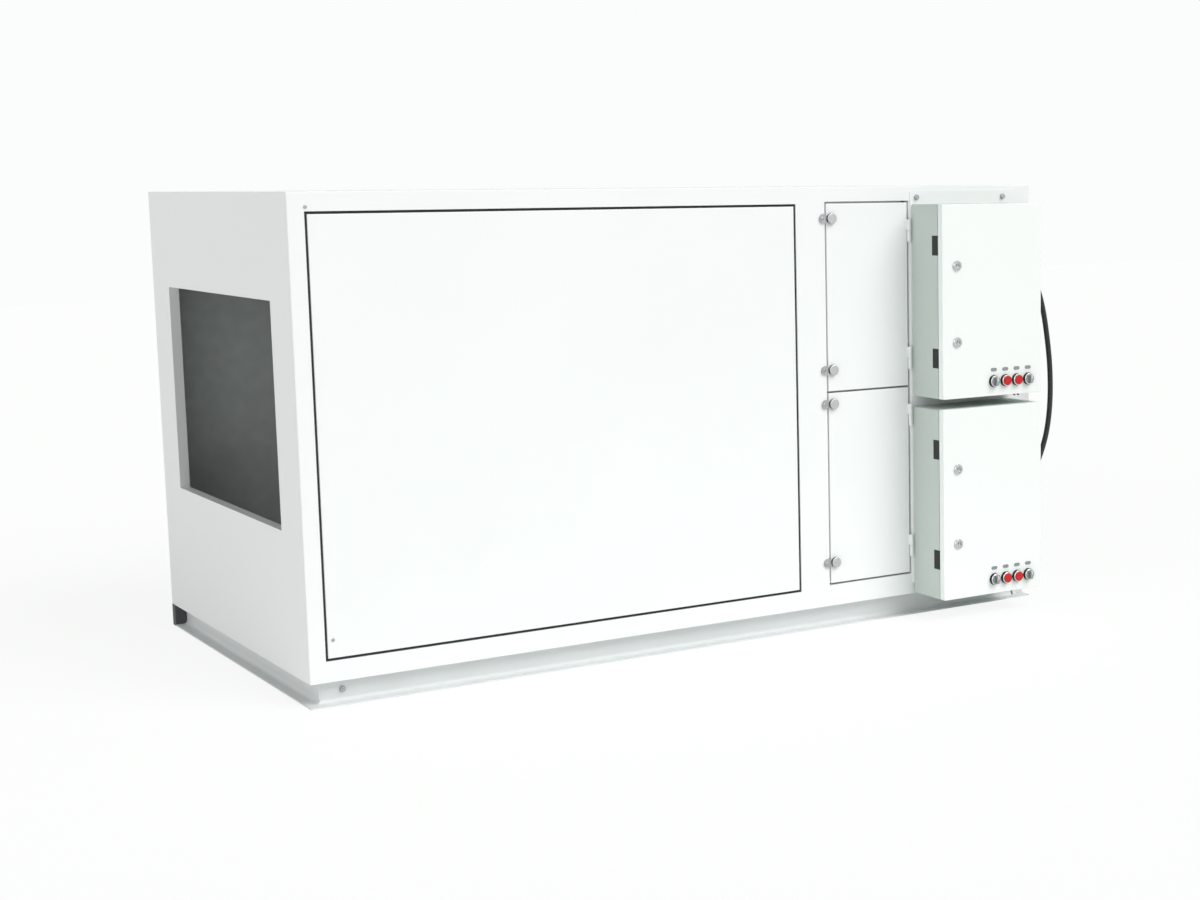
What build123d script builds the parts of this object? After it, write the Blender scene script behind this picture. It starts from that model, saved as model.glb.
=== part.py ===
from build123d import *
from math import isclose, radians, tan
import os

# Kitchen exhaust unit: a hollow white sheet-steel cabinet with a rectangular duct opening in each
# end, a lift-off service panel, two hinged access doors and two control boxes joined by a cable.
# Units are millimetres. X runs along the unit from the inlet end, Y from front to rear, Z up.
# The origin is on the floor, under the middle of the front base rail's foot.

# Cabinet: insulated walls whose outer corners are folded to a small radius
body_depth = 902.0
wall_thickness = 20.0
corner_radius = 2.0
roof_edge_radius = 1.5

# Base: rails of folded sheet set back under the cabinet, with a foot that comes out to its faces
base_height = 47.0
rail_sheet = 3.0
rail_setback = 24.0
rail_cove_radius = 8.0
rail_top_flange = 36.0
rear_rail_depth = 21.0
web_slot_inset = 31.0
web_slot_width = 5.0
closing_plate_top_width = 17.0

# Duct opening in each end wall
duct_width = 664.0
duct_height = 424.0
duct_sill_height = 269.0

# Service panel, let flush into the front
panel_left_margin = 36.0
panel_width = 1012.0
panel_bottom_margin = 44.0
panel_height = 806.0
panel_top_margin = 40.0
panel_gap = 5.0
panel_edge_radius = 1.5
gasket_recess = 3.0

# Access doors, one above the other, hinged on the right
middle_post_width = 70.5
access_width = 206.0
access_bottom = 48.5
lower_access_height = 408.5
access_top_margin = 35.0
access_gap = 4.0
stop_overlap = 6.0
stop_thickness = 3.0
stop_rail_height = 24.0
seat_clearance = 0.3

# Barrel hinges of the access doors
barrel_radius = 4.0
barrel_length = 48.0
barrel_split = 1.0
barrel_end_margin = 60.0
barrel_foot_reach = 4.5
hinge_pin_radius = 2.0
pin_clearance = 0.25

# Turn latches of the access doors, and the keepers beside them
latch_inset = 10.5
latch_low_margin = 45.0
lower_latch_high_margin = 23.0
upper_latch_high_margin = 31.0
latch_knob_radius = 11.0
latch_knob_height = 6.0
latch_knob_edge = 1.5
latch_collar_radius = 7.0
latch_collar_height = 2.0
latch_spindle_radius = 4.0
latch_bore_clearance = 0.5
latch_cam_length = 24.0
latch_cam_width = 10.0
latch_cam_thickness = 3.0
latch_cam_clearance = 1.0
latch_nut_radius = 5.8
latch_nut_height = 4.0
keeper_width = 14.0
keeper_height = 19.0
keeper_thickness = 4.0

# Mounting plate behind the control boxes
plate_thickness = 3.0
plate_clearance = 3.0
plate_left_margin = 2.5
plate_right_margin = 16.0
plate_bottom = 22.0
plate_top_margin = 10.0
plate_corner_radius = 4.0
front_right_margin = 42.0

# Control boxes
box_width = 267.0
box_body_depth = 95.0
lower_box_bottom = 1.0
box_spacing = 22.5
upper_box_top_margin = 38.5
box_sheet = 2.0
box_corner_radius = 4.0
box_flange_width = 10.0
box_rim_inset = 6.0
box_rim_height = 12.0
box_door_gap = 2.0
box_door_depth = 15.0
box_door_edge_radius = 1.5
cutout_height = 42.0
cutout_depth = 20.0
cutout_end_margin = 87.0

# Hinges of the box doors, set in the cut-outs of the right side wall
box_hinge_offset = 4.5
box_hinge_radius = 3.5
box_hinge_pin_radius = 1.5

# Quarter-turn cam locks of the box doors
lock_inset = 38.0
lock_bottom_margin = 121.0
lock_top_margin = 130.0
lock_flange_radius = 11.0
lock_flange_height = 4.0
lock_flange_edge = 1.3
lock_barrel_radius = 8.5
lock_core_radius = 6.5
lock_core_recess = 0.5
lock_key_recess_radius = 4.8
lock_key_recess_depth = 4.0
lock_key_pin_radius = 2.0
lock_key_bit_width = 1.6
lock_cam_length = 31.5
lock_cam_width = 12.0
lock_cam_thickness = 3.0
lock_cam_clearance = 1.0
lock_clearance = 0.3

# Push buttons and rotary switches, in one row at the foot of each box door
control_last_inset = 37.4
control_pitch = 31.2
control_height = 32.0
bezel_base_radius = 13.2
bezel_base_height = 3.0
bezel_ring_radius = 12.4
bezel_ring_height = 5.5
bezel_ring_edge = 1.2
bezel_bore_radius = 10.5
bezel_bore_depth = 6.0
control_barrel_radius = 9.5
control_barrel_depth = 20.0
control_nut_radius = 12.5
control_nut_height = 4.0
stem_radius = 3.0
cap_radius = 10.1
cap_seat = 2.0
button_proud = 2.5
button_travel = 4.0
button_edge = 1.0
switch_disc_proud = 1.0
switch_grip_proud = 7.5
switch_grip_length = 18.5
switch_grip_width = 6.5
switch_grip_edge = 1.0
control_clearance = 0.3

# Cable between the two boxes and its elbow fittings
elbow_reach = 24.0
elbow_radius = 9.5
elbow_bend_radius = 12.0
elbow_nut_radius = 13.0
elbow_nut_length = 7.0
elbow_outlet_length = 24.0
elbow_depth = 50.0
upper_elbow_drop = 63.5
lower_elbow_rise = 171.0
cable_diameter = 12.0
cable_run_share = 0.45

# Places along the front, from the cabinet's left end
access_left = panel_left_margin + panel_width + panel_gap + middle_post_width + access_gap
access_right = access_left + access_width
plate_left = access_right + access_gap + plate_clearance
box_left = plate_left + plate_left_margin
box_right = box_left + box_width
plate_right = box_right + plate_right_margin
body_length = plate_right + front_right_margin

# Heights above the cabinet's underside
body_height = panel_bottom_margin + panel_height + panel_top_margin
upper_access_bottom = access_bottom + lower_access_height + access_gap
access_top = body_height - access_top_margin
upper_box_top = body_height - upper_box_top_margin
box_height = (upper_box_top - lower_box_bottom - box_spacing) / 2
upper_box_bottom = upper_box_top - box_height
upper_elbow_height = upper_box_top - upper_elbow_drop
lower_elbow_height = lower_box_bottom + lower_elbow_rise
plate_top = body_height - plate_top_margin
box_bottoms = {"lower": lower_box_bottom, "upper": upper_box_bottom}
access_doors = {
    "lower": (access_bottom, lower_access_height, lower_latch_high_margin),
    "upper": (upper_access_bottom, access_top - upper_access_bottom, upper_latch_high_margin),
}

# Faces of the finished unit
left_face = -body_length / 2
right_face = body_length / 2
front_face = -(rail_setback + rail_sheet) / 2
rear_face = front_face + body_depth
middle_depth = (front_face + rear_face) / 2
body_bottom = base_height
body_top = base_height + body_height
front_inner = front_face + wall_thickness
plate_front = front_face - plate_thickness
box_front = plate_front - box_body_depth
box_door_back = box_front - box_door_gap
box_door_front = box_door_back - box_door_depth
box_door_inner = box_door_front + box_sheet


def from_left(distance):
    """X of a place measured from the left end of the cabinet."""
    return left_face + distance


def above_body(height):
    """Z of a place measured from the underside of the cabinet."""
    return body_bottom + height


def block(x_low, x_high, y_low, y_high, z_low, z_high):
    """A rectangular block between two opposite corners."""
    size = (x_high - x_low, y_high - y_low, z_high - z_low)
    centre = ((x_low + x_high) / 2, (y_low + y_high) / 2, (z_low + z_high) / 2)
    return Pos(*centre) * Box(*size)


def rod(radius, start, end):
    """A round rod between two points."""
    axis = Vector(*end) - Vector(*start)
    return extrude(Plane(origin=start, z_dir=axis.normalized()) * Circle(radius), axis.length)


def turned(profile, x, y, z):
    """A piece turned about an axis that points to the front.

    The profile is a closed list of (radius, distance in front of y).
    """
    outline = Polyline(*[(x + radius, y - forward, z) for radius, forward in profile], close=True)
    return revolve(make_face(outline), axis=Axis((x, y, z), (0, -1, 0)))


def pressed(outline, x, z, y_low, y_high):
    """An outline placed at x and z and made solid between two depths; its own Y points down."""
    plane = Plane(origin=(x, y_low, z), x_dir=(1, 0, 0), z_dir=(0, 1, 0))
    return extrude(plane * outline, y_high - y_low)


def round_corners(slab):
    """Round the upright edges of a slab that lie on the cabinet's corners."""
    corners = [
        edge for edge in slab.edges().filter_by(Axis.Z)
        if isclose(abs(edge.center().X), right_face)
        and isclose(abs(edge.center().Y - middle_depth), body_depth / 2)
    ]
    return fillet(corners, corner_radius)


def save(shape, name):
    """Write one node to its STEP file."""
    export_step(Compound(shape) if isinstance(shape, list) else shape, f"parts/{name}.step")


def rail_section():
    """Section of a base rail: a web with a coved foot outwards and a flange inwards at the top.

    X of the section is the distance in from the cabinet's face, Y is the height.
    """
    web_back = rail_setback + rail_sheet
    flange_end = rail_setback + rail_top_flange
    flange_under = base_height - rail_sheet
    outline = Polyline(
        (0, 0), (web_back, 0), (web_back, flange_under), (flange_end, flange_under),
        (flange_end, base_height), (rail_setback, base_height), (rail_setback, rail_sheet),
        (0, rail_sheet), close=True,
    )
    section = make_face(outline)
    corner = section.vertices().sort_by_distance((rail_setback, rail_sheet))[0]
    return fillet(corner, rail_cove_radius)


def rail(length, mitre_start, mitre_end):
    """A rail laid along +X, its outer face at y = 0, its ends mitred where asked."""
    bar = extrude(Plane(origin=(0, 0, 0), x_dir=(0, 1, 0), z_dir=(1, 0, 0)) * rail_section(), length)
    reach = rail_setback + rail_top_flange
    for mitred, x, outwards in ((mitre_start, 0, -1), (mitre_end, length, 1)):
        if mitred:
            waste = Polyline((x, 0), (x + outwards * reach, 0), (x + outwards * reach, reach),
                             (x - outwards * reach, reach), close=True)
            bar -= extrude(make_face(waste), base_height)
    return bar


def closing_plate():
    """Plate that closes the right rail at the front corner; its free edge flares like the cove."""
    left = right_face - rail_setback
    top_right = left + closing_plate_top_width
    flare_middle = (top_right + (right_face - top_right) / 3, rail_sheet + (base_height - rail_sheet) / 4)
    outline = [
        Line((left, rail_sheet), (left, base_height)),
        Line((left, base_height), (top_right, base_height)),
        ThreePointArc((top_right, base_height), flare_middle, (right_face, rail_sheet)),
        Line((right_face, rail_sheet), (left, rail_sheet)),
    ]
    back = front_face + rail_setback + rail_sheet
    plane = Plane(origin=(0, back, 0), x_dir=(1, 0, 0), z_dir=(0, -1, 0))
    return extrude(plane * make_face(outline), rail_sheet)


def base_rails():
    """Front rail with a slot near its right end, side rails mitred to it, and a flat bar at the rear."""
    side_length = body_depth - rear_rail_depth
    web_front = front_face + rail_setback
    slot_right = right_face - web_slot_inset
    slot = block(slot_right - web_slot_width, slot_right, web_front - rail_cove_radius,
                 web_front + rail_sheet, rail_sheet, base_height - rail_sheet)
    front = Pos(left_face, front_face, 0) * rail(body_length, True, True) - slot
    left = Pos(left_face, rear_face - rear_rail_depth, 0) * Rot(0, 0, -90) * rail(side_length, False, True)
    right = Pos(right_face, front_face, 0) * Rot(0, 0, 90) * rail(side_length, True, False)
    rear = block(left_face, right_face, rear_face - rear_rail_depth, rear_face, 0, base_height)
    return {
        "front_base_rail": front,
        "side_base_rails": [left, right + closing_plate()],
        "rear_base_rail": rear,
    }


def end_wall(x_low):
    """An end wall between floor and roof, with the duct opening cut through it."""
    x_high = x_low + wall_thickness
    wall = block(x_low, x_high, front_inner, rear_face - wall_thickness,
                 body_bottom + wall_thickness, body_top - wall_thickness)
    sill = above_body(duct_sill_height)
    return wall - block(x_low, x_high, middle_depth - duct_width / 2, middle_depth + duct_width / 2,
                        sill, sill + duct_height)


def cabinet_shell():
    """Floor, roof, rear wall and the two end walls."""
    inner_bottom = body_bottom + wall_thickness
    inner_top = body_top - wall_thickness
    floor = block(left_face, right_face, front_face, rear_face, body_bottom, inner_bottom)
    roof = round_corners(block(left_face, right_face, front_face, rear_face, inner_top, body_top))
    rear = block(left_face, right_face, rear_face - wall_thickness, rear_face, inner_bottom, inner_top)
    return {
        "floor_panel": round_corners(floor),
        "roof_panel": fillet(roof.edges().group_by(Axis.Z)[-1], roof_edge_radius),
        "rear_wall": round_corners(rear),
        "left_end_wall": end_wall(left_face),
        "right_end_wall": end_wall(right_face - wall_thickness),
    }


def front_slab(x_low, x_high, z_low, z_high):
    """A piece of the front, as thick as the wall."""
    return block(x_low, x_high, front_face, front_inner, z_low, z_high)


def front_frame():
    """Posts, rails and right-hand panel of the front, round the service panel and the doors."""
    inner_bottom = body_bottom + wall_thickness
    inner_top = body_top - wall_thickness
    panel_low = above_body(panel_bottom_margin - panel_gap)
    panel_high = above_body(panel_bottom_margin + panel_height + panel_gap)
    doors_low = above_body(access_bottom - access_gap)
    doors_high = above_body(access_top + access_gap)
    left_post_right = from_left(panel_left_margin - panel_gap)
    middle_post_left = from_left(panel_left_margin + panel_width + panel_gap)
    middle_post_right = from_left(access_left - access_gap)
    doors_right = from_left(access_right + access_gap)
    joint = (middle_post_left + middle_post_right) / 2
    bottom = front_slab(left_face, joint, inner_bottom, panel_low)
    bottom += front_slab(joint, right_face, inner_bottom, doors_low)
    top = front_slab(left_face, joint, panel_high, inner_top)
    top += front_slab(joint, right_face, doors_high, inner_top)
    middle = front_slab(middle_post_left, joint, panel_low, panel_high)
    middle += front_slab(joint, middle_post_right, doors_low, doors_high)
    left = front_slab(left_face, left_post_right, panel_low, panel_high)
    return {
        "front_rails": [round_corners(bottom), round_corners(top)],
        "front_posts": [round_corners(left), middle],
        "front_right_panel": round_corners(front_slab(doors_right, right_face, doors_low, doors_high)),
    }


def service_panel():
    """The large lift-off panel, flush with the front, and the rubber gasket round it."""
    x_low, z_low = from_left(panel_left_margin), above_body(panel_bottom_margin)
    x_high, z_high = x_low + panel_width, z_low + panel_height
    blank = front_slab(x_low, x_high, z_low, z_high)
    surround = block(x_low - panel_gap, x_high + panel_gap, front_face + gasket_recess, front_inner,
                     z_low - panel_gap, z_high + panel_gap)
    return {
        "service_panel": fillet(blank.edges().group_by(Axis.Y)[0], panel_edge_radius),
        "service_panel_gasket": surround - blank,
    }


def door_stops():
    """Flat bars behind the access doors: at the foot, behind their joint and at the head."""
    x_low = from_left(access_left - access_gap - stop_overlap)
    x_high = from_left(access_right + access_gap + stop_overlap)
    y_low = front_inner + seat_clearance
    foot = above_body(access_bottom - access_gap)
    head = above_body(access_top + access_gap)
    joint = above_body(upper_access_bottom - access_gap / 2)
    spans = (
        (foot - stop_overlap, foot + stop_overlap),
        (joint - stop_rail_height / 2, joint + stop_rail_height / 2),
        (head - stop_overlap, head + stop_overlap),
    )
    return [block(x_low, x_high, y_low, y_low + stop_thickness, low, high) for low, high in spans]


def hinge_axis():
    """X and Y of the pins of the access doors, in front of the gap on the hinge side."""
    return from_left(access_right + access_gap / 2), front_face - barrel_radius


def hinge_heights(bottom, height):
    """Middles of the two barrel hinges of one door."""
    return above_body(bottom + barrel_end_margin), above_body(bottom + height - barrel_end_margin)


def barrel_half(z_low, z_high, side):
    """Half a hinge barrel with the foot that welds it to the frame (side 1) or the door (side -1)."""
    x, y = hinge_axis()
    far = x + side * barrel_foot_reach
    foot = block(min(x, far), max(x, far), y, front_face, z_low, z_high)
    return rod(barrel_radius, (x, y, z_low), (x, y, z_high)) + foot


def frame_hinges():
    """Lower halves of the four barrel hinges, with the pins that stand up out of them."""
    x, y = hinge_axis()
    halves = []
    for bottom, height, _ in access_doors.values():
        for middle in hinge_heights(bottom, height):
            foot, head = middle - barrel_length / 2, middle + barrel_length / 2
            half = barrel_half(foot, middle - barrel_split / 2, 1)
            halves.append(half + rod(hinge_pin_radius, (x, y, foot), (x, y, head)))
    return halves


def latch_places(bottom, height, high_margin):
    """X and Z of the two latches of one access door."""
    x = from_left(access_left + latch_inset)
    return {
        "bottom": (x, above_body(bottom + latch_low_margin)),
        "top": (x, above_body(bottom + height - high_margin)),
    }


def access_door(bottom, height, high_margin):
    """One access door with the upper halves of its hinges and the bores of its latches."""
    x, y = hinge_axis()
    door = front_slab(from_left(access_left), from_left(access_right),
                      above_body(bottom), above_body(bottom + height))
    door = fillet(door.edges().group_by(Axis.Y)[0], panel_edge_radius)
    for middle in hinge_heights(bottom, height):
        head = middle + barrel_length / 2
        door += barrel_half(middle + barrel_split / 2, head, -1)
        door -= rod(hinge_pin_radius + pin_clearance, (x, y, middle), (x, y, head))
    bore_radius = latch_spindle_radius + latch_bore_clearance
    for latch_x, latch_z in latch_places(bottom, height, high_margin).values():
        door -= rod(bore_radius, (latch_x, front_face, latch_z), (latch_x, front_inner, latch_z))
    return door


def hanging_cam(x, z, y_low, thickness, width, length):
    """Flat cam with a round shoulder and a round tip, hanging down from its spindle."""
    between_ends = length - width / 2
    outline = Pos(0, between_ends / 2) * Rot(0, 0, 90) * SlotCenterToCenter(between_ends, width)
    return pressed(outline, x, z, y_low, y_low + thickness)


def turn_latch(x, z):
    """Round knob, spindle through the door, and the cam and nut behind it."""
    cam_front = front_inner + latch_cam_clearance
    cam_back = cam_front + latch_cam_thickness
    knob_front = latch_collar_height + latch_knob_height
    knob = turned([
        (0, 0), (latch_spindle_radius, 0), (latch_spindle_radius, seat_clearance),
        (latch_collar_radius, seat_clearance), (latch_collar_radius, latch_collar_height),
        (latch_knob_radius, latch_collar_height), (latch_knob_radius, knob_front), (0, knob_front),
    ], x, front_face, z)
    knob = fillet(knob.edges().sort_by(Axis.Y)[0], latch_knob_edge)
    spindle = rod(latch_spindle_radius, (x, front_face, z), (x, cam_back, z))
    cam = hanging_cam(x, z, cam_front, latch_cam_thickness, latch_cam_width, latch_cam_length)
    nut = pressed(RegularPolygon(latch_nut_radius, 6), x, z, cam_back, cam_back + latch_nut_height)
    return knob + spindle + cam + nut


def latch_keepers():
    """Round-nosed keepers on the middle post, one level with each latch."""
    right = from_left(access_left - access_gap)
    nose_radius = keeper_height / 2
    tail_length = keeper_width - nose_radius
    nose = Pos(nose_radius - keeper_width, 0) * Circle(nose_radius)
    tail = Pos(-tail_length / 2, 0) * Rectangle(tail_length, keeper_height)
    limit = Pos(-keeper_width / 2, 0) * Rectangle(keeper_width, keeper_height)
    outline = (nose + tail) & limit
    return [pressed(outline, right, z, front_face - keeper_thickness, front_face)
            for door in access_doors.values() for _, z in latch_places(*door).values()]


def mounting_plate():
    """Plain plate on the front that carries both control boxes."""
    width, height = plate_right - plate_left, plate_top - plate_bottom
    outline = RectangleRounded(width, height, plate_corner_radius)
    return pressed(outline, from_left(plate_left + width / 2), above_body(plate_bottom + height / 2),
                   plate_front, front_face)


def box_prism(bottom, inset, corner, y_low, y_high):
    """A prism as large as a control box less an inset on all four sides, with rounded corners."""
    outline = RectangleRounded(box_width - 2 * inset, box_height - 2 * inset, corner)
    return pressed(outline, from_left(box_left + box_width / 2), above_body(bottom + box_height / 2),
                   y_low, y_high)


def cutout_spans(bottom):
    """Lowest and highest Z of the two hinge cut-outs of one box."""
    low_middle = above_body(bottom + cutout_end_margin)
    high_middle = above_body(bottom + box_height - cutout_end_margin)
    return [(middle - cutout_height / 2, middle + cutout_height / 2) for middle in (low_middle, high_middle)]


def box_body(bottom, elbow_height):
    """Folded box with an inward front flange, a raised sealing rim and four hinge cut-outs."""
    x_low, x_high = from_left(box_left), from_left(box_right)
    inner_corner = box_corner_radius - box_sheet
    rim_front = box_front - box_rim_height
    body = box_prism(bottom, 0, box_corner_radius, box_front, plate_front)
    body -= box_prism(bottom, box_sheet, inner_corner, box_front + box_sheet, plate_front - box_sheet)
    body -= box_prism(bottom, box_flange_width, inner_corner, box_front, box_front + box_sheet)
    rim = box_prism(bottom, box_rim_inset, box_corner_radius, rim_front, box_front)
    body += rim - box_prism(bottom, box_rim_inset + box_sheet, inner_corner, rim_front, box_front)
    for low, high in cutout_spans(bottom):
        body -= block(x_low, x_low + box_sheet, box_front, box_front + cutout_depth, low, high)
        body -= block(x_high - box_sheet, x_high, box_front, box_front + cutout_depth, low, high)
    y, z = front_face - elbow_depth, above_body(elbow_height)
    return body - rod(elbow_radius, (x_high - box_sheet, y, z), (x_high, y, z))


def side_plugs():
    """Black plugs that fill the unused hinge cut-outs on the lock side of both boxes."""
    x_low = from_left(box_left)
    return [block(x_low, x_low + box_sheet, box_front, box_front + cutout_depth, low, high)
            for bottom in box_bottoms.values() for low, high in cutout_spans(bottom)]


def box_hinge_axis():
    """X and Y of the pins of the box doors, just outside the right front corner."""
    return from_left(box_right) + box_hinge_offset, box_front


def box_hinges():
    """Hinge leaves in the cut-outs of the right side walls, each with its lower knuckle and pin."""
    x, y = box_hinge_axis()
    wall_outer = from_left(box_right)
    wall_inner = wall_outer - box_sheet
    hinges = []
    for bottom in box_bottoms.values():
        for low, high in cutout_spans(bottom):
            split = (low + high - barrel_split) / 2
            leaf = block(wall_inner, wall_outer, box_front, box_front + cutout_depth, low, high)
            arm = block(wall_inner, x, y, y + box_hinge_radius, low, split)
            knuckle = rod(box_hinge_radius, (x, y, low), (x, y, split))
            pin = rod(box_hinge_pin_radius, (x, y, low), (x, y, high))
            hinges.append(leaf + arm + knuckle + pin)
    return hinges


def control_places(bottom):
    """X and Z of the four controls of one box door, from left to right."""
    last = box_right - control_last_inset
    return [(from_left(last - steps * control_pitch), above_body(bottom + control_height))
            for steps in (3, 2, 1, 0)]


def lock_places(bottom):
    """X and Z of the two cam locks of one box door."""
    x = from_left(box_left + lock_inset)
    return {
        "bottom": (x, above_body(bottom + lock_bottom_margin)),
        "top": (x, above_body(bottom + box_height - lock_top_margin)),
    }


def box_door(bottom):
    """Shallow folded door with the upper hinge knuckles and the holes for locks and controls."""
    inner_corner = box_corner_radius - box_sheet
    door = box_prism(bottom, 0, box_corner_radius, box_door_front, box_door_back)
    door = fillet(door.edges().group_by(Axis.Y)[0], box_door_edge_radius)
    door -= box_prism(bottom, box_sheet, inner_corner, box_door_inner, box_door_back)
    x, y = box_hinge_axis()
    wall_inner = from_left(box_right) - box_sheet
    for low, high in cutout_spans(bottom):
        split = (low + high + barrel_split) / 2
        door += rod(box_hinge_radius, (x, y, split), (x, y, high))
        door += block(wall_inner, x, y - box_hinge_radius, y - seat_clearance, split, high)
        door -= rod(box_hinge_pin_radius + pin_clearance, (x, y, split), (x, y, high))
    for lock_x, lock_z in lock_places(bottom).values():
        door -= rod(lock_barrel_radius, (lock_x, box_door_front, lock_z), (lock_x, box_door_inner, lock_z))
    for control_x, control_z in control_places(bottom):
        door -= rod(control_barrel_radius, (control_x, box_door_front, control_z),
                    (control_x, box_door_inner, control_z))
    return door


def lock_housings(bottom):
    """Chromed lock housings: a flanged ring in front of the door and a barrel through it."""
    bore = lock_core_radius + lock_clearance
    return [turned([
        (bore, -box_door_depth), (lock_barrel_radius, -box_door_depth), (lock_barrel_radius, 0),
        (lock_flange_radius, 0), (lock_flange_radius, lock_flange_height - lock_flange_edge),
        (lock_flange_radius - lock_flange_edge, lock_flange_height), (bore, lock_flange_height),
    ], x, box_door_front, z) for x, z in lock_places(bottom).values()]


def cam_lock(x, z):
    """Turning core of a cam lock, with a double-bit key recess in front and its cam behind."""
    cam_front = box_front + box_sheet + lock_cam_clearance
    cam_back = cam_front + lock_cam_thickness
    back = box_door_front - cam_back
    front = lock_flange_height - lock_core_recess
    recess_floor = front - lock_key_recess_depth
    core = turned([
        (0, back), (lock_core_radius, back), (lock_core_radius, front), (lock_key_recess_radius, front),
        (lock_key_recess_radius, recess_floor), (lock_key_pin_radius, recess_floor),
        (lock_key_pin_radius, front), (0, front),
    ], x, box_door_front, z)
    bits = block(x - lock_key_bit_width / 2, x + lock_key_bit_width / 2,
                 box_door_front - front, box_door_front - recess_floor,
                 z - lock_key_recess_radius, z + lock_key_recess_radius)
    return core + bits + hanging_cam(x, z, cam_front, lock_cam_thickness, lock_cam_width, lock_cam_length)


def control_bezels(bottom):
    """Bezels of the four controls, each with its base ring, front ring, barrel and lock nut."""
    ring_front = bezel_base_height + bezel_ring_height
    bore_floor = ring_front - bezel_bore_depth
    stem_bore = stem_radius + control_clearance
    nut_back = -box_sheet - control_nut_height
    profile = [
        (stem_bore, -control_barrel_depth), (control_barrel_radius, -control_barrel_depth),
        (control_barrel_radius, nut_back), (control_nut_radius, nut_back),
        (control_nut_radius, -box_sheet), (control_barrel_radius, -box_sheet), (control_barrel_radius, 0),
        (bezel_base_radius, 0), (bezel_base_radius, bezel_base_height),
        (bezel_ring_radius, bezel_base_height), (bezel_ring_radius, ring_front - bezel_ring_edge),
        (bezel_ring_radius - bezel_ring_edge, ring_front), (bezel_bore_radius, ring_front),
        (bezel_bore_radius, bore_floor), (stem_bore, bore_floor),
    ]
    return [turned(profile, x, box_door_front, z) for x, z in control_places(bottom)]


def push_button(x, z):
    """Round flat cap that stands proud of its bezel, on a stem through the barrel."""
    ring_front = bezel_base_height + bezel_ring_height
    back = ring_front - cap_seat
    front = ring_front + button_proud
    stem_back = button_travel - control_barrel_depth
    button = turned([
        (0, stem_back), (stem_radius, stem_back), (stem_radius, back),
        (cap_radius, back), (cap_radius, front), (0, front),
    ], x, box_door_front, z)
    return fillet(button.edges().sort_by(Axis.Y)[0], button_edge)


def rotary_switch(x, z):
    """Round disc with a raised upright grip, on a stem through the barrel."""
    ring_front = bezel_base_height + bezel_ring_height
    back = ring_front - cap_seat
    face = ring_front + switch_disc_proud
    disc = turned([
        (0, -control_barrel_depth), (stem_radius, -control_barrel_depth), (stem_radius, back),
        (cap_radius, back), (cap_radius, face), (0, face),
    ], x, box_door_front, z)
    outline = Rot(0, 0, 90) * SlotOverall(switch_grip_length, switch_grip_width)
    grip_front = box_door_front - ring_front - switch_grip_proud
    grip = pressed(outline, x, z, grip_front, box_door_front - face)
    return disc + fillet(grip.edges().group_by(Axis.Y)[0], switch_grip_edge)


def cable_elbow(height, turn):
    """Elbow fitting: a bent body with a six-sided nut at the box wall and one at the outlet.

    turn is 1 where the outlet points up and -1 where it points down.
    """
    wall = from_left(box_right)
    x, y, z = wall + elbow_reach, front_face - elbow_depth, above_body(height)
    outlet = z + turn * elbow_outlet_length
    path = FilletPolyline((wall - box_sheet, y, z), (x, y, z), (x, y, outlet), radius=elbow_bend_radius)
    body = sweep(Plane(origin=path @ 0, z_dir=path % 0) * Circle(elbow_radius), path=path)
    nut = RegularPolygon(elbow_nut_radius, 6)
    body += extrude(Plane(origin=(wall, y, z), z_dir=(1, 0, 0)) * nut, elbow_nut_length)
    return body + extrude(Plane(origin=(x, y, outlet), z_dir=(0, 0, -turn)) * nut, elbow_nut_length)


def cable_route():
    """Middle line of the cable, bowing out sideways from the upper elbow down to the lower one.

    The places are a step apart in height; how far each lies out was chosen by hand.
    """
    outs = (0, 0, 7, 18, 30, 38, 44, 49, 53, 55, 55.5, 54, 50, 43, 31, 15, 0, 0)
    top = upper_elbow_height - elbow_outlet_length
    step = (top - lower_elbow_height - elbow_outlet_length) / (len(outs) - 1)
    x, y = box_right + elbow_reach, front_face - elbow_depth
    return [Vector(from_left(x + out), y, above_body(top - index * step)) for index, out in enumerate(outs)]


def cable():
    """Round cable of straight runs joined by tangent arcs."""
    points = cable_route()
    bend_radii = []
    for before, corner, after in zip(points, points[1:], points[2:]):
        turn = (corner - before).get_angle(after - corner)
        shorter = min((corner - before).length, (after - corner).length)
        bend_radii.append(cable_run_share * shorter / tan(radians(turn / 2)))
    path = FilletPolyline(*points, radius=bend_radii)
    section = Plane(origin=path @ 0, z_dir=path % 0) * Circle(cable_diameter / 2)
    tube = sweep(section, path=path)
    print("cable radii", [round(radius) for radius in bend_radii], "length", round(path.length, 1))
    print("cable volume over section times length", round(tube.volume / (section.area * path.length), 4))
    return tube


def access_door_nodes():
    """Both access doors and their latches."""
    nodes = {}
    for level, door in access_doors.items():
        nodes[f"{level}_access_door"] = access_door(*door)
        for end, place in latch_places(*door).items():
            nodes[f"{level}_door_{end}_latch"] = turn_latch(*place)
    return nodes


def control_box_nodes():
    """Both control boxes with their doors, locks and controls."""
    nodes = {}
    elbow_heights = {"lower": lower_elbow_height, "upper": upper_elbow_height}
    for level, bottom in box_bottoms.items():
        nodes[f"{level}_box_body"] = box_body(bottom, elbow_heights[level])
        nodes[f"{level}_box_door"] = box_door(bottom)
        nodes[f"{level}_lock_housings"] = lock_housings(bottom)
        nodes[f"{level}_control_bezels"] = control_bezels(bottom)
        for end, place in lock_places(bottom).items():
            nodes[f"{level}_box_{end}_lock"] = cam_lock(*place)
        left_switch, left_button, right_button, right_switch = control_places(bottom)
        nodes[f"{level}_left_switch"] = rotary_switch(*left_switch)
        nodes[f"{level}_left_button"] = push_button(*left_button)
        nodes[f"{level}_right_button"] = push_button(*right_button)
        nodes[f"{level}_right_switch"] = rotary_switch(*right_switch)
    return nodes


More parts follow.
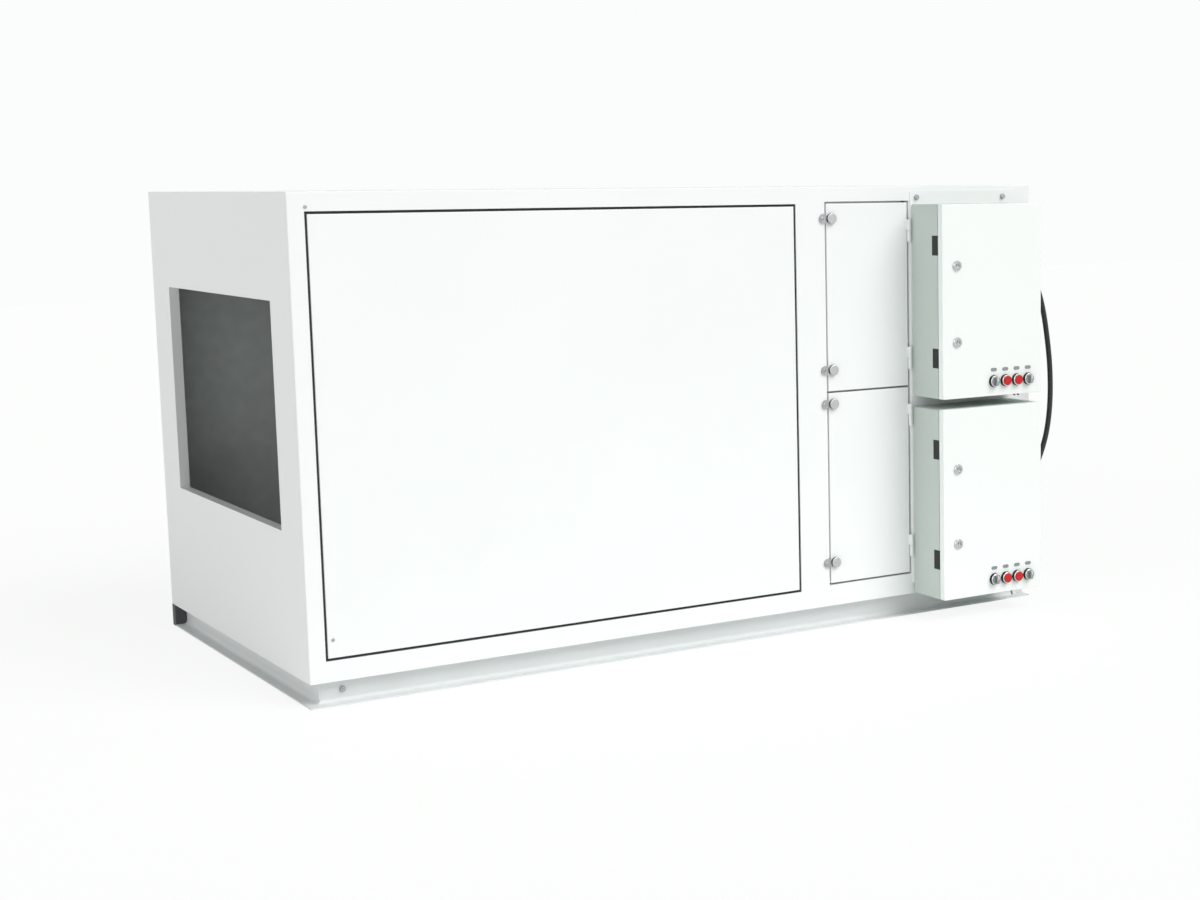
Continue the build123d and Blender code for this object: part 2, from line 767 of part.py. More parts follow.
def build():
    """All nodes of the unit, by name."""
    nodes = {}
    nodes.update(base_rails())
    nodes.update(cabinet_shell())
    nodes.update(front_frame())
    nodes.update(service_panel())
    nodes["door_stop_bars"] = door_stops()
    nodes["access_door_hinges"] = frame_hinges()
    nodes["latch_keepers"] = latch_keepers()
    nodes.update(access_door_nodes())
    nodes["box_mounting_plate"] = mounting_plate()
    nodes["box_side_plugs"] = side_plugs()
    nodes["box_hinges"] = box_hinges()
    nodes.update(control_box_nodes())
    nodes["cable_elbows"] = [cable_elbow(upper_elbow_height, -1), cable_elbow(lower_elbow_height, 1)]
    nodes["link_cable"] = cable()
    return nodes


os.makedirs("parts", exist_ok=True)
for name, shape in build().items():
    save(shape, name)
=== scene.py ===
import math
import bpy
from mathutils import Matrix, Vector


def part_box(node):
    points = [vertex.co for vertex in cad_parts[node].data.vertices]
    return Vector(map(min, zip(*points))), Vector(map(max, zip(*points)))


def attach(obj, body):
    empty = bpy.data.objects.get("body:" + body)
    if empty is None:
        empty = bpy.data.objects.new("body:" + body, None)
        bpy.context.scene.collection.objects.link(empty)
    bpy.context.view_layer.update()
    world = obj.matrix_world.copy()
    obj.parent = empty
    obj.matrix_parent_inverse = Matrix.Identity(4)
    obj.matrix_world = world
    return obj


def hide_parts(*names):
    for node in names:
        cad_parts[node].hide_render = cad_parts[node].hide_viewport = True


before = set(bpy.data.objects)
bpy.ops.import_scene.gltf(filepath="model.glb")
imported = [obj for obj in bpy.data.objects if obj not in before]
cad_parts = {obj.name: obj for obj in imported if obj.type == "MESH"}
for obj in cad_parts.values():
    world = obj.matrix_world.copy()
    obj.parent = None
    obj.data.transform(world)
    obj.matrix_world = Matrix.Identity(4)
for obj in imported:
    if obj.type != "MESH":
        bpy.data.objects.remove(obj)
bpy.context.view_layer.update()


# The camera stands in front of the unit's inlet end at eye level and looks along the front.
# The picture was cut off-centre, so the lens is shifted sideways.
camera = bpy.data.objects.new("camera", bpy.data.cameras.new("camera"))
bpy.context.collection.objects.link(camera)
camera_heading = math.radians(-35.656)
camera_pitch = math.radians(-7.665)
camera_roll = math.radians(-0.429)
camera_place = (-1.9783, -3.5460, 0.9463)
camera_turn = (Matrix.Rotation(camera_heading, 3, "Z") @ Matrix.Rotation(math.pi / 2 + camera_pitch, 3, "X")
               @ Matrix.Rotation(camera_roll, 3, "Z"))
camera.matrix_world = Matrix.LocRotScale(camera_place, camera_turn, None)
camera.data.sensor_width = 36.0
camera.data.lens = 59.86
camera.data.shift_x = -0.275
camera.data.clip_end = 60.0
bpy.context.scene.camera = camera
bpy.context.scene.view_settings.view_transform = "Standard"


# The cable links the two control boxes: black flexible rubber over stranded copper, 12 mm thick.
# It leaves each box through an elbow fitting and bows out past the boxes' edge.
def linear(code):
    """Linear colour of an sRGB hex code."""
    parts = [int(code[i:i + 2], 16) / 255 for i in (1, 3, 5)]
    return tuple(p / 12.92 if p <= 0.04045 else ((p + 0.055) / 1.055) ** 2.4 for p in parts) + (1.0,)


def add(tree, kind, links=None, **settings):
    """Add one node, set its properties and sockets, and link what is given as a socket."""
    node = tree.nodes.new(kind)
    for name, value in settings.items():
        setattr(node, name, value)
    for name, value in (links or {}).items():
        socket = node.inputs[name]
        if isinstance(value, bpy.types.NodeSocket):
            tree.links.new(value, socket)
        else:
            socket.default_value = value
    return node


def start_material(name, **sockets):
    """A material with one principled shader: returns it, its tree, the shader and object coordinates."""
    material = bpy.data.materials.new(name)
    material.use_nodes = True
    tree = material.node_tree
    shader = tree.nodes["Principled BSDF"]
    for socket, value in sockets.items():
        shader.inputs[socket].default_value = value
    return material, tree, shader, add(tree, "ShaderNodeTexCoord").outputs["Object"]


def noise(tree, place, scale, detail=2.0, roughness=0.5):
    """Grey noise; its scale counts waves per metre."""
    return add(tree, "ShaderNodeTexNoise",
               {"Vector": place, "Scale": scale, "Detail": detail, "Roughness": roughness}).outputs["Fac"]


def spread(tree, value, low, high):
    """A noise value stretched to the range between low and high."""
    return add(tree, "ShaderNodeMapRange",
               {"Value": value, "From Min": 0.3, "From Max": 0.7, "To Min": low, "To Max": high}).outputs["Result"]


def mix_colours(tree, share, first, second):
    """Mix two colours, given as hex codes or sockets."""
    node = add(tree, "ShaderNodeMix", data_type="RGBA")
    ends = [linear(end) if isinstance(end, str) else end for end in (first, second)]
    for socket, value in zip((node.inputs[0], node.inputs[6], node.inputs[7]), (share, *ends)):
        if isinstance(value, bpy.types.NodeSocket):
            tree.links.new(value, socket)
        else:
            socket.default_value = value
    return node.outputs[2]


def roughen(tree, shader, height, strength, depth):
    """Bump the shader's surface by a height pattern; depth is in metres."""
    bump = add(tree, "ShaderNodeBump", {"Height": height, "Strength": strength, "Distance": depth})
    tree.links.new(bump.outputs["Normal"], shader.inputs["Normal"])


# Extruded neoprene is slightly chalky, so the cable is dull black with a faint bloom.
neoprene, tree, shader, place = start_material("neoprene_jacket", IOR=1.52)
bloom = noise(tree, place, 180.0, 4.0, 0.6)
tree.links.new(mix_colours(tree, bloom, "#0c0c0d", "#202122"), shader.inputs["Base Color"])
tree.links.new(spread(tree, bloom, 0.42, 0.58), shader.inputs["Roughness"])
roughen(tree, shader, bloom, 0.25, 0.0004)

cable_outs = (0, 0, 7, 18, 30, 38, 44, 49, 53, 55, 55.5, 54, 50, 43, 31, 15, 0, 0)
cable_x, cable_y = 0.800, -0.0635
cable_thickness = 0.012
cable_low, cable_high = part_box("link_cable")
cable_step = (cable_high.z - cable_low.z) / (len(cable_outs) - 1)
cable_route = [(cable_x + out / 1000, cable_y, cable_high.z - index * cable_step)
               for index, out in enumerate(cable_outs)]
curve = bpy.data.curves.new("box_link_cable", "CURVE")
curve.dimensions = "3D"
curve.bevel_depth = cable_thickness / 2
curve.bevel_resolution = 6
curve.use_fill_caps = True
curve.resolution_u = 8
spline = curve.splines.new("NURBS")
spline.points.add(len(cable_route) - 1)
for point, position in zip(spline.points, cable_route):
    point.co = (*position, 1.0)
spline.order_u = 3
spline.use_endpoint_u = True
link_cable = bpy.data.objects.new("box_link_cable", curve)
bpy.context.collection.objects.link(link_cable)
curve.materials.append(neoprene)
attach(link_cable, "cabinet")
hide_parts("link_cable")


# The cabinet is folded steel sheet with a baked white enamel outside; inside it is bare galvanised sheet,
# whose darker grey is partly painted shade inside the cabinet.
# Walls, floor and roof are two skins with insulation between them, so only their faces show.
def within(tree, place, low, high):
    """1 inside the box between two corners, 0 outside it."""
    axes = add(tree, "ShaderNodeSeparateXYZ", {"Vector": place}).outputs
    share = None
    for axis, lowest, highest in zip(axes, low, high):
        near = add(tree, "ShaderNodeMath", {0: axis, 1: (lowest + highest) / 2, 2: (highest - lowest) / 2},
                   operation="COMPARE").outputs[0]
        share = near if share is None else add(tree, "ShaderNodeMath", {0: share, 1: near},
                                               operation="MULTIPLY").outputs[0]
    return share


def coat(material, *names):
    """Give CAD nodes a material in every slot."""
    for name in names:
        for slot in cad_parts[name].material_slots:
            slot.material = material


# The enamel is smooth with a faint orange peel, and milky where the light grazes it. The orange peel is
# drawn at 4 mm, coarser than the real 2 mm, so that it survives at picture scale. The galvanised side
# is dull light grey with cloudy spangles a few centimetres wide; its grey is partly painted shade.
floor_low, floor_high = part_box("floor_panel")
surface_margin = 0.0005
wall = floor_high.z - floor_low.z - surface_margin
inner_low = [value + wall for value in floor_low]
inner_high = [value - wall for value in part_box("roof_panel")[1]]
enamel, tree, shader, place = start_material("baked_white_enamel_shaded_inside", IOR=1.5)
# The inside faces take the darker galvanised grey, which is partly painted shade inside the cabinet.
inside = within(tree, place, inner_low, inner_high)
cloud = noise(tree, place, 2.2, 3.0)
white = mix_colours(tree, cloud, "#e9ebeb", "#f0f2f1")
spangles = add(tree, "ShaderNodeTexVoronoi", {"Vector": place, "Scale": 45.0}, feature="SMOOTH_F1")
galvanised_in_shade = mix_colours(tree, noise(tree, place, 5.0, 3.0), "#bcc0bf", "#cdd1d0")
galvanised_in_shade = mix_colours(tree, spread(tree, spangles.outputs["Distance"], 0.0, 0.25), galvanised_in_shade, "#dadedd")
tree.links.new(mix_colours(tree, inside, white, galvanised_in_shade), shader.inputs["Base Color"])
gloss = spread(tree, cloud, 0.34, 0.44)
matt = add(tree, "ShaderNodeMath", {0: inside, 1: 0.2}, operation="MULTIPLY").outputs[0]
tree.links.new(add(tree, "ShaderNodeMath", {0: gloss, 1: matt}, operation="ADD").outputs[0],
               shader.inputs["Roughness"])
roughen(tree, shader, noise(tree, place, 250.0, 1.0), 0.06, 0.0002)
coat(enamel, "floor_panel", "roof_panel", "rear_wall", "left_end_wall", "right_end_wall", "front_rails",
     "front_posts", "front_right_panel", "service_panel", "lower_access_door", "upper_access_door",
     "access_door_hinges", "box_mounting_plate")

# The gasket round the service panel is dense black rubber, dusty on its front.
rubber, tree, shader, place = start_material("epdm_gasket", IOR=1.52, Roughness=0.75)
dust = noise(tree, place, 60.0, 4.0)
tree.links.new(mix_colours(tree, dust, "#131414", "#2b2d2d"), shader.inputs["Base Color"])
roughen(tree, shader, dust, 0.3, 0.0003)
coat(rubber, "service_panel_gasket")


# The base is folded from thicker sheet and sprayed duller than the cabinet's enamel, with a faint drift
# where the spray lies thicker. Its pale grey is painted shade under the cabinet. It is bolted through its web
# from the front.
shaded_base_paint, tree, shader, place = start_material("base_rail_enamel_painted_shade", IOR=1.5)
drift = noise(tree, place, 8.0, 3.0)
# The pale grey of the base is painted shade under the cabinet.
tree.links.new(mix_colours(tree, drift, "#d6d9d9", "#dee1e1"), shader.inputs["Base Color"])
tree.links.new(spread(tree, drift, 0.4, 0.5), shader.inputs["Roughness"])
roughen(tree, shader, noise(tree, place, 250.0, 1.0), 0.08, 0.0002)
coat(shaded_base_paint, "front_base_rail", "side_base_rails")

# The rear rail, which a wall hides, is drawn dull dark grey as painted shade deep under the cabinet.
rear_rail_shade, tree, shader, place = start_material("rear_rail_painted_shade", IOR=1.5)
scuff = noise(tree, place, 20.0, 4.0, 0.6)
tree.links.new(mix_colours(tree, scuff, "#3f4244", "#55585a"), shader.inputs["Base Color"])
tree.links.new(spread(tree, scuff, 0.6, 0.75), shader.inputs["Roughness"])
roughen(tree, shader, scuff, 0.1, 0.0003)
coat(rear_rail_shade, "rear_base_rail")

# Zinc plate is pale bluish grey and a little cloudy.
zinc_plate, tree, shader, place = start_material("zinc_plated_steel", Metallic=1.0)
cloud = noise(tree, place, 120.0, 3.0)
tree.links.new(mix_colours(tree, cloud, "#9a9d9f", "#c3c6c7"), shader.inputs["Base Color"])
tree.links.new(spread(tree, cloud, 0.26, 0.42), shader.inputs["Roughness"])


def turned_mesh(name, rings, sides=24):
    """A closed turned mesh about Z. Each ring is (radius, height, whether it is six-sided)."""
    points, faces = [], []
    for radius, level, six_sided in rings:
        for step in range(sides):
            angle = 2 * math.pi * step / sides
            off_corner = (angle + math.pi / 6) % (math.pi / 3) - math.pi / 6
            flat = math.cos(math.pi / 6) / math.cos(math.pi / 6 - abs(off_corner))
            reach = radius * (flat if six_sided else 1)
            points.append((reach * math.cos(angle), reach * math.sin(angle), level))
    for ring in range(len(rings) - 1):
        for step in range(sides):
            across = (step + 1) % sides
            faces.append((ring * sides + step, ring * sides + across,
                          (ring + 1) * sides + across, (ring + 1) * sides + step))
    faces.append(tuple(range((len(rings) - 1) * sides, len(rings) * sides)))
    faces.append(tuple(reversed(range(sides))))
    mesh = bpy.data.meshes.new(name)
    mesh.from_pydata(points, [], faces)
    return mesh


def pattern_tree():
    """Node group that stands one head on every point, turned to face outwards and rolled at random."""
    group = bpy.data.node_groups.new("heads_on_points", "GeometryNodeTree")
    for name, kind in (("Points", "Geometry"), ("Head", "Object"), ("Finish", "Material"), ("Roll", "Float")):
        group.interface.new_socket(name, in_out="INPUT", socket_type="NodeSocket" + kind)
    group.interface.new_socket("Heads", in_out="OUTPUT", socket_type="NodeSocketGeometry")
    source = group.nodes.new("NodeGroupInput")
    head = add(group, "GeometryNodeObjectInfo", {"Object": source.outputs["Head"]})
    facing = add(group, "GeometryNodeInputNamedAttribute", {"Name": "facing"}, data_type="FLOAT_VECTOR")
    turn = add(group, "FunctionNodeAlignRotationToVector", {"Vector": facing.outputs["Attribute"]}, axis="Z")
    roll = add(group, "FunctionNodeRandomValue", {3: source.outputs["Roll"], "Seed": 7}, data_type="FLOAT")
    own_turn = add(group, "FunctionNodeAxisAngleToRotation", {"Angle": roll.outputs[1]})
    whole_turn = add(group, "FunctionNodeRotateRotation",
                     {"Rotation": turn.outputs["Rotation"], "Rotate By": own_turn.outputs["Rotation"]},
                     rotation_space="LOCAL")
    stood = add(group, "GeometryNodeInstanceOnPoints",
                {"Points": source.outputs["Points"], "Instance": head.outputs["Geometry"],
                 "Rotation": whole_turn.outputs["Rotation"]})
    real = add(group, "GeometryNodeRealizeInstances", {"Geometry": stood.outputs["Instances"]})
    painted = add(group, "GeometryNodeSetMaterial",
                  {"Geometry": real.outputs["Geometry"], "Material": source.outputs["Finish"]})
    sink = group.nodes.new("NodeGroupOutput")
    group.links.new(painted.outputs["Geometry"], sink.inputs["Heads"])
    return group


heads_on_points = pattern_tree()


def place_heads(name, head_mesh, places, facing, finish, body, roll=1.0):
    """Stand one head on each place, keep the result as a plain mesh and let it ride with a body."""
    points = bpy.data.meshes.new(name)
    points.from_pydata(places, [], [])
    for entry in points.attributes.new("facing", "FLOAT_VECTOR", "POINT").data:
        entry.vector = facing
    carrier = bpy.data.objects.new(name + "_points", points)
    head = bpy.data.objects.new(name + "_head", head_mesh)
    bpy.context.collection.objects.link(carrier)
    modifier = carrier.modifiers.new("heads", "NODES")
    modifier.node_group = heads_on_points
    values = {"Head": head, "Finish": finish, "Roll": roll}
    for socket in heads_on_points.interface.items_tree:
        if socket.name in values:
            modifier[socket.identifier] = values[socket.name]
    ready = carrier.evaluated_get(bpy.context.evaluated_depsgraph_get())
    mesh = bpy.data.meshes.new_from_object(ready)
    bpy.data.objects.remove(carrier)
    bpy.data.objects.remove(head)
    piece = bpy.data.objects.new(name, mesh)
    bpy.context.collection.objects.link(piece)
    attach(piece, body)
    return piece


to_front = (0.0, -1.0, 0.0)
hex_head = turned_mesh("hex_head", [
    (0.0061, 0.0, False), (0.0061, 0.0010, False), (0.0058, 0.0013, False), (0.0056, 0.0013, True),
    (0.0056, 0.0046, True), (0.0048, 0.0052, False), (0.0016, 0.0053, False),
])
rail_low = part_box("front_base_rail")[0]
web_setback = 0.024
front_web = rail_low.y + web_setback
base_bolt_x, base_bolt_z = 0.767, 0.0255
place_heads("base_bolts", hex_head, [(side * base_bolt_x, front_web, base_bolt_z) for side in (-1, 1)], to_front,
            zinc_plate, "cabinet")

# The rails are mitred and welded at the front corner, with a rippled bead that was painted over.
upwards = (0.0, 0.0, 1.0)
bead_radius, ripple_depth, ripple_pitch = 0.0017, 0.0003, 0.0011
bead_foot, bead_sink = 0.010, 0.0002
bead_end = 0.0005
ripples = [(bead_radius + ripple_depth * (step % 2), step * ripple_pitch, False) for step in range(30)]
bead_tip = ripples[-1][1] + ripple_depth
weld_bead = turned_mesh("weld_bead", [(bead_end, -ripple_depth, False), *ripples, (bead_end, bead_tip, False)],
                        sides=12)
bead_place = (rail_low.x + web_setback + bead_sink, front_web + bead_sink, bead_foot)
place_heads("corner_weld", weld_bead, [bead_place], upwards, shaded_base_paint, "cabinet")


# The mounting plate hangs on two bolts through its top corners, beside and above the upper box.
# Small button screws hold the frame's corners and the keepers.
plate_low, plate_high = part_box("box_mounting_plate")
plate_bolt_z = plate_high.z - 0.014
plate_bolt_xs = (plate_low.x + 0.0155, plate_high.x - 0.0365)
place_heads("plate_bolts", hex_head, [(x, plate_low.y, plate_bolt_z) for x in plate_bolt_xs], to_front,
            zinc_plate, "cabinet")

button_head = turned_mesh("button_head", [
    (0.0035, 0.0, False), (0.0035, 0.0004, False), (0.0032, 0.0012, False), (0.0025, 0.0018, False),
    (0.0017, 0.0020, False), (0.0013, 0.0020, True), (0.0013, 0.0009, True), (0.0006, 0.0008, False),
])
keeper_low, keeper_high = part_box("latch_keepers")
keeper_screw_shift = -0.0015
keeper_screw_x = (keeper_low.x + keeper_high.x) / 2 + keeper_screw_shift
latch_nodes = [f"{level}_door_{end}_latch" for level in ("lower", "upper") for end in ("bottom", "top")]
knob_radius = 0.011
latch_heights = [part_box(node)[1].z - knob_radius for node in latch_nodes]
place_heads("keeper_screws", button_head, [(keeper_screw_x, keeper_low.y, z) for z in latch_heights], to_front,
            zinc_plate, "cabinet")
front_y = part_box("front_posts")[0].y
frame_screw_places = [(-0.801, front_y, 0.910), (-0.788, front_y, 0.125)]
place_heads("frame_screws", button_head, frame_screw_places, to_front, zinc_plate, "cabinet")


# The latches of the access doors are round hand knobs with a satin metal cap; the skirt under the cap
# is drawn black as painted shade on the knob's side.
# The keepers beside them and the stop bars behind the doors are plain zinc-plated steel.
latch_finish, tree, shader, place = start_material("hand_knob_shaded_skirt", IOR=1.5)
cap_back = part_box(latch_nodes[0])[0].y + 0.0025
shaded_skirt = within(tree, place, (-1.0, cap_back, 0.0), (1.0, front_y, 1.0))
grain = noise(tree, place, 300.0, 3.0)
metal = mix_colours(tree, grain, "#b4b5b6", "#cdcecf")
# The skirt's black is painted shade on the knob's side.
tree.links.new(mix_colours(tree, shaded_skirt, metal, "#1b1c1d"), shader.inputs["Base Color"])
tree.links.new(add(tree, "ShaderNodeMath", {0: 0.9, 1: shaded_skirt}, operation="SUBTRACT", use_clamp=True).outputs[0],
               shader.inputs["Metallic"])
tree.links.new(spread(tree, grain, 0.32, 0.46), shader.inputs["Roughness"])
coat(latch_finish, *latch_nodes)
coat(zinc_plate, "latch_keepers", "door_stop_bars")


# The control boxes are folded from sheet and coated in one grey-green structured powder, drawn darker on
# the bodies as painted shade and paler on the doors as painted light.
# The coat is finely pebbled, which dulls its shine; it is drawn at 3 mm so that it shows at picture scale.
def powder_coat(name, dark, pale):
    """A structured powder coat that drifts between two colours."""
    material, tree, shader, place = start_material(name, IOR=1.5)
    pebble = noise(tree, place, 330.0, 2.0)
    tree.links.new(mix_colours(tree, noise(tree, place, 3.0, 3.0), dark, pale), shader.inputs["Base Color"])
    tree.links.new(spread(tree, pebble, 0.42, 0.56), shader.inputs["Roughness"])
    roughen(tree, shader, pebble, 0.12, 0.0002)
    return material


# The bodies are darker as painted shade and the doors paler as painted light; both are one grey-green coat.
coat(powder_coat("grey_green_coat_painted_shade", "#bac4be", "#c4cec8"), "lower_box_body", "upper_box_body")
coat(powder_coat("grey_green_coat_painted_light", "#eaeeec", "#f0f3f1"), "lower_box_door", "upper_box_door")

# Glass-filled nylon is near black and slightly silky.
nylon, tree, shader, place = start_material("black_nylon", IOR=1.53)
grain = noise(tree, place, 260.0, 3.0)
tree.links.new(mix_colours(tree, grain, "#08090a", "#121314"), shader.inputs["Base Color"])
tree.links.new(spread(tree, grain, 0.42, 0.56), shader.inputs["Roughness"])
coat(nylon, "box_side_plugs", "box_hinges", "cable_elbows")

# Two black drain plugs are pushed into the underside of the upper box, near its front.
downwards = (0.0, 0.0, -1.0)
drain_plug = turned_mesh("drain_plug", [
    (0.0042, 0.0, False), (0.0042, 0.0012, False), (0.0030, 0.0020, False), (0.0028, 0.0055, False),
    (0.0018, 0.0064, False),
], sides=16)
upper_low, upper_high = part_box("upper_box_body")
plug_setback, plug_insets = 0.024, (0.052, 0.042)
plug_places = [(upper_high.x - inset, upper_low.y + plug_setback, upper_low.z) for inset in plug_insets]
place_heads("drain_plugs", drain_plug, plug_places, downwards, nylon, "cabinet")


# Each box door is sealed by a loop of grey foam, glued inside it where the rim of the box meets the door.
# Foam is dull and pitted; the pits are drawn at 2 mm, coarser than real.
foam, tree, shader, place = start_material("sealing_foam", IOR=1.45, Roughness=0.9)
pits = noise(tree, place, 500.0, 2.0)
tree.links.new(mix_colours(tree, pits, "#3c3f40", "#5a5d5e"), shader.inputs["Base Color"])
roughen(tree, shader, pits, 0.5, 0.0004)


def seal_mesh(name, low, high, inset, width, corner, corner_steps=6):
    """A closed loop of square section just inside the outline between two corners, seen from the front."""
    rings = []
    for step_in, y in ((0.0, low.y), (0.0, high.y), (width, high.y), (width, low.y)):
        margin = inset + step_in
        radius = corner + width - step_in
        left, right = low.x + margin + radius, high.x - margin - radius
        foot, head = low.z + margin + radius, high.z - margin - radius
        ring = []
        for quarter, (x, z) in enumerate(((right, head), (left, head), (left, foot), (right, foot))):
            for step in range(corner_steps + 1):
                angle = (quarter + step / corner_steps) * math.pi / 2
                ring.append((x + radius * math.cos(angle), y, z + radius * math.sin(angle)))
        rings.append(ring)
    count = len(rings[0])
    faces = [(ring * count + step, (ring + 1) % 4 * count + step,
              (ring + 1) % 4 * count + (step + 1) % count, ring * count + (step + 1) % count)
             for ring in range(4) for step in range(count)]
    mesh = bpy.data.meshes.new(name)
    mesh.from_pydata([point for ring in rings for point in ring], [], faces)
    return mesh


door_sheet = 0.002
seal_depth, seal_width, seal_inset, seal_corner = 0.0028, 0.0088, 0.0026, 0.002
for level in ("lower", "upper"):
    door_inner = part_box(f"{level}_box_door")[0].y + door_sheet
    body_low, body_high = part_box(f"{level}_box_body")
    seal_low = Vector((body_low.x, door_inner, body_low.z))
    seal_high = Vector((body_high.x, door_inner + seal_depth, body_high.z))
    loop = seal_mesh(f"{level}_door_seal", seal_low, seal_high, seal_inset, seal_width, seal_corner)
    loop.materials.append(foam)
    door_seal = bpy.data.objects.new(f"{level}_door_seal", loop)
    bpy.context.collection.objects.link(door_seal)
    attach(door_seal, f"{level}_box_door")


# Each box door carries two quarter-turn locks with a bright nickel flange and a double-bit key recess.
nickel, tree, shader, place = start_material("bright_nickel_plate", Metallic=1.0)
haze = noise(tree, place, 220.0, 3.0)
tree.links.new(mix_colours(tree, haze, "#b7b9ba", "#d5d7d8"), shader.inputs["Base Color"])
tree.links.new(spread(tree, haze, 0.12, 0.24), shader.inputs["Roughness"])
coat(nickel, "lower_lock_housings", "upper_lock_housings", "lower_box_bottom_lock", "lower_box_top_lock",
     "upper_box_bottom_lock", "upper_box_top_lock")


# The controls stand in a row at the foot of each door: two red push buttons between two rotary switches.
# Their bezels are black moulded nylon with a bright metal ring pressed on the front.
ringed, tree, shader, place = start_material("ringed_bezel", IOR=1.53)
ring_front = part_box("lower_control_bezels")[0].y
ring_depth = 0.0016
ring = within(tree, place, (-1.0, ring_front - surface_margin, 0.0), (1.0, ring_front + ring_depth, 1.0))
grain = noise(tree, place, 260.0, 3.0)
black = mix_colours(tree, grain, "#08090a", "#121314")
tree.links.new(mix_colours(tree, ring, black, "#d6d8d9"), shader.inputs["Base Color"])
tree.links.new(ring, shader.inputs["Metallic"])
tree.links.new(spread(tree, grain, 0.22, 0.36), shader.inputs["Roughness"])
coat(ringed, "lower_control_bezels", "upper_control_bezels")

# The caps are moulded in deep signal red and rubbed to a gloss.
red_cap, tree, shader, place = start_material("signal_red_cap", IOR=1.49)
wear = noise(tree, place, 150.0, 3.0)
tree.links.new(mix_colours(tree, wear, "#b00205", "#c80507"), shader.inputs["Base Color"])
tree.links.new(spread(tree, wear, 0.26, 0.4), shader.inputs["Roughness"])

# The switches are satin aluminium, turned on the disc.
satin, tree, shader, place = start_material("satin_aluminium", Metallic=1.0)
brushed = noise(tree, place, 400.0, 3.0)
tree.links.new(mix_colours(tree, brushed, "#8f9193", "#b9bbbc"), shader.inputs["Base Color"])
tree.links.new(spread(tree, brushed, 0.28, 0.42), shader.inputs["Roughness"])
for level in ("lower", "upper"):
    coat(red_cap, f"{level}_left_button", f"{level}_right_button")
    coat(satin, f"{level}_left_switch", f"{level}_right_switch")

# A white pointer line is inlaid in the upper half of each switch's grip. It is enamel like the cabinet's.
# Above each control a small oval tag is glued to the door; the tags are left blank.
tag_finish, tree, shader, place = start_material("anodised_tag", Metallic=0.6)
grain = noise(tree, place, 350.0, 3.0)
tree.links.new(mix_colours(tree, grain, "#85898a", "#9da1a2"), shader.inputs["Base Color"])
tree.links.new(spread(tree, grain, 0.4, 0.55), shader.inputs["Roughness"])


def oval_mesh(name, width, height, layers, end_steps=8):
    """A plate with round ends, lying in X and Y; each layer is (how far the outline steps in, height)."""
    points = []
    for step_in, level in layers:
        radius = min(width, height) / 2 - step_in
        reach_x, reach_y = max(width - height, 0) / 2, max(height - width, 0) / 2
        first = 0.5 if width > height else 0.0
        for end, sign in enumerate((1, -1)):
            for step in range(end_steps + 1):
                angle = (end - first + step / end_steps) * math.pi
                points.append((sign * reach_x + radius * math.cos(angle),
                               sign * reach_y + radius * math.sin(angle), level))
    count = 2 * (end_steps + 1)
    faces = [(ring * count + step, ring * count + (step + 1) % count,
              (ring + 1) * count + (step + 1) % count, (ring + 1) * count + step)
             for ring in range(len(layers) - 1) for step in range(count)]
    faces.append(tuple(range((len(layers) - 1) * count, len(layers) * count)))
    faces.append(tuple(reversed(range(count))))
    mesh = bpy.data.meshes.new(name)
    mesh.from_pydata(points, [], faces)
    return mesh


pointer_line = oval_mesh("pointer_line", 0.0018, 0.0075, [(0.0, -0.0002), (0.0, 0.0001), (0.0002, 0.0003)])
oval_tag = oval_mesh("oval_tag", 0.016, 0.0075, [(0.0, 0.0), (0.0, 0.0006), (0.0003, 0.0009)])
tag_rise, pointer_rise = 0.025, 0.0045
for level in ("lower", "upper"):
    door_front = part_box(f"{level}_box_door")[0].y
    tag_places = []
    for control in ("left_switch", "left_button", "right_button", "right_switch"):
        control_low, control_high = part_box(f"{level}_{control}")
        middle = (control_low + control_high) / 2
        tag_places.append((middle.x, door_front, middle.z + tag_rise))
        if "switch" in control:
            pointer_place = (middle.x, control_low.y, middle.z + pointer_rise)
            place_heads(f"{level}_{control}_pointer", pointer_line, [pointer_place], to_front, enamel,
                        f"{level}_{control}", roll=0.0)
    place_heads(f"{level}_control_tags", oval_tag, tag_places, to_front, tag_finish, f"{level}_box_door",
                roll=0.0)


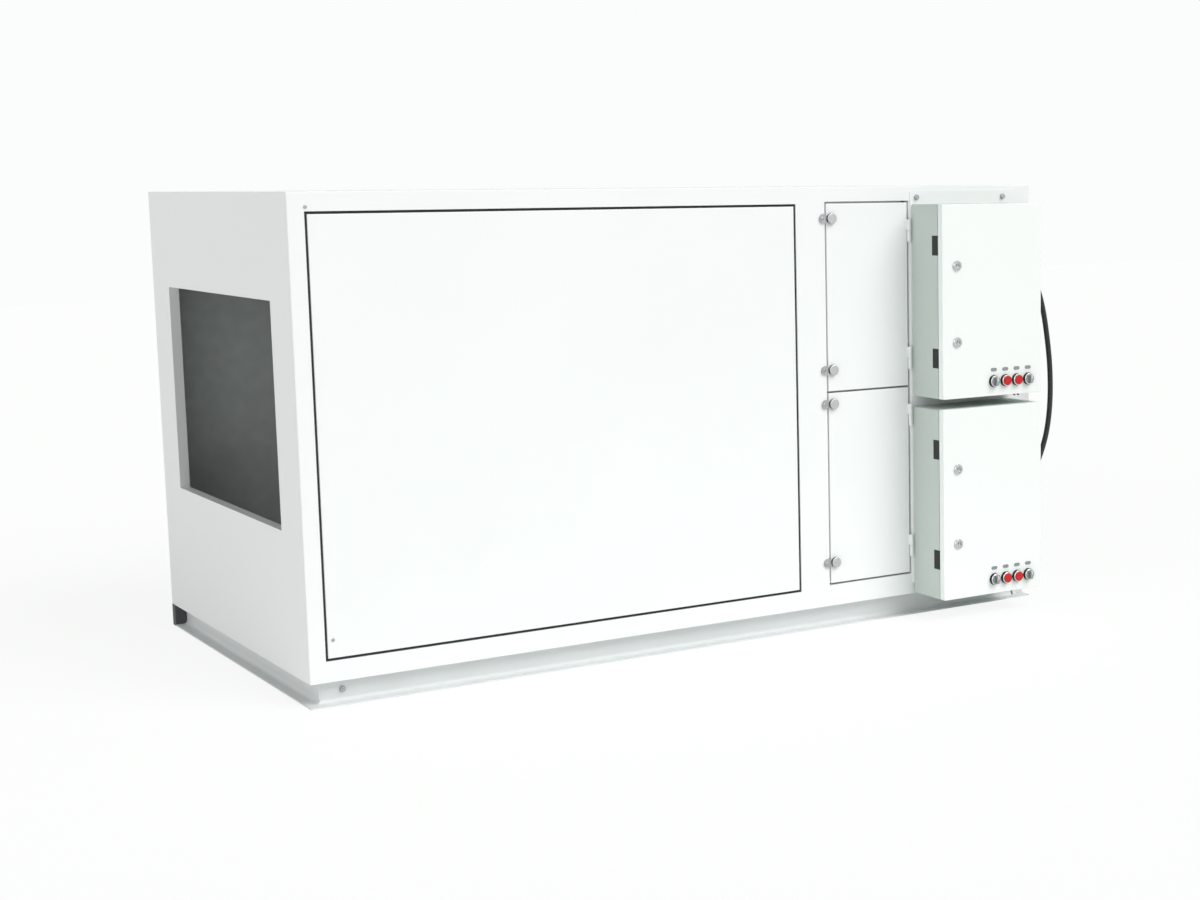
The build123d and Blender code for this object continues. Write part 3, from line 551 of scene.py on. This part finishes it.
# The floor and the light: a plain pale sweep under soft daylight, most of it from the upper right in front.
def daylight(name, side, height, softness, strength):
    """A soft sun; side is its turn from the front towards the outlet end, all angles in degrees."""
    light = bpy.data.lights.new(name, "SUN")
    light.angle = math.radians(softness)
    light.energy = strength
    rig = bpy.data.objects.new(name, light)
    bpy.context.collection.objects.link(rig)
    rig.rotation_euler = (math.radians(90 - height), 0.0, math.radians(side))


floor_reach = 14.0
floor_corners = [(x * floor_reach, y * floor_reach, 0.0) for x, y in ((-1, -1), (1, -1), (1, 1), (-1, 1))]
floor_mesh = bpy.data.meshes.new("studio_floor")
floor_mesh.from_pydata(floor_corners, [], [(0, 1, 2, 3)])
studio_floor = bpy.data.objects.new("studio_floor", floor_mesh)
bpy.context.collection.objects.link(studio_floor)
paper, tree, shader, place = start_material("studio_paper", IOR=1.45, Roughness=0.9)
fibre = noise(tree, place, 3.0)
tree.links.new(mix_colours(tree, fibre, "#fbfdfc", "#f8faf9"), shader.inputs["Base Color"])


def looked_at(tree):
    """1 for rays that show the background to the camera, also by way of a shiny surface, 0 for light."""
    rays = add(tree, "ShaderNodeLightPath").outputs
    either = add(tree, "ShaderNodeMath", {0: rays["Is Camera Ray"], 1: rays["Is Glossy Ray"]},
                 operation="MAXIMUM").outputs[0]
    return add(tree, "ShaderNodeMath", {0: either, 1: rays["Is Transmission Ray"]}, operation="MAXIMUM").outputs[0]


glow = add(tree, "ShaderNodeEmission", {"Color": linear("#fefffe"), "Strength": 1.0})
glow_share = add(tree, "ShaderNodeMath", {0: looked_at(tree), 1: 0.86}, operation="MULTIPLY").outputs[0]
blend = add(tree, "ShaderNodeMixShader", {0: glow_share, 1: shader.outputs["BSDF"], 2: glow.outputs["Emission"]})
tree.links.new(blend.outputs["Shader"], tree.nodes["Material Output"].inputs["Surface"])
floor_mesh.materials.append(paper)

world = bpy.data.worlds.new("studio_world")
bpy.context.scene.world = world
world.use_nodes = True
tree = world.node_tree
backdrop = tree.nodes["Background"]
backdrop.inputs["Color"].default_value = linear("#fbfdfc")
ambient = add(tree, "ShaderNodeMapRange", {"Value": looked_at(tree), "To Min": 0.36, "To Max": 1.0})
tree.links.new(ambient.outputs["Result"], backdrop.inputs["Strength"])
daylight("front_right_window", 27.0, 45.0, 40.0, 2.1)
daylight("inlet_end_window", -70.0, 24.0, 50.0, 0.69)
